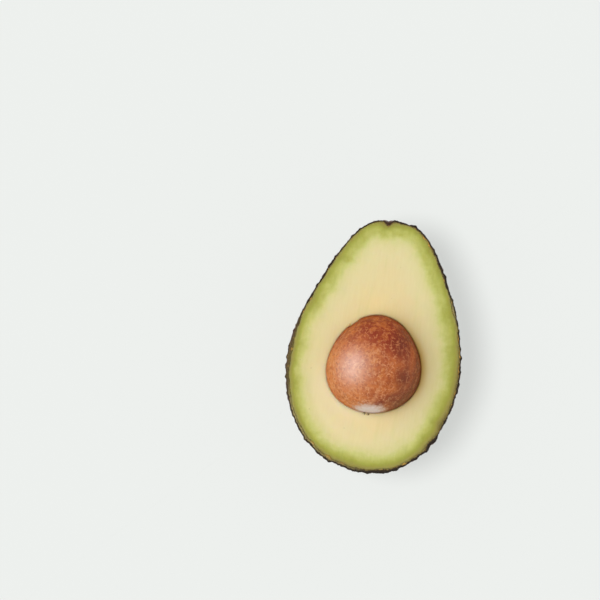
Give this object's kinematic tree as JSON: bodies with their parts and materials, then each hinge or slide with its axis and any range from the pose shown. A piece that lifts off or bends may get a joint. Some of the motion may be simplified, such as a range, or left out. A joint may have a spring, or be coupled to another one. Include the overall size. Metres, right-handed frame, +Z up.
{
  "type": "avocado half",
  "caption": "Ripe pear-shaped avocado half, cut side up, with pebbled dark skin, pale green flesh and its round seed still in the hollow.",
  "frame": {"origin": "on the surface that the half lies on, under the middle of its length and width", "axes": "+Y along the fruit to its stem end, +X across the cut face, +Z up, square to the cut face"},
  "size_m": [0.07, 0.102, 0.0531],
  "materials": {
    "skin": "pebbled, satin, dark purple-brown with olive green, thin and leathery",
    "flesh": "smooth buttery cut surface, pale yellow turning green next to the skin",
    "seed": "papery orange-brown seed coat with pale veins, low satin sheen"
  },
  "bodies": {
    "root": {"skin": "skin", "flesh": "flesh", "seed": "seed"}
  },
  "joints": []
}
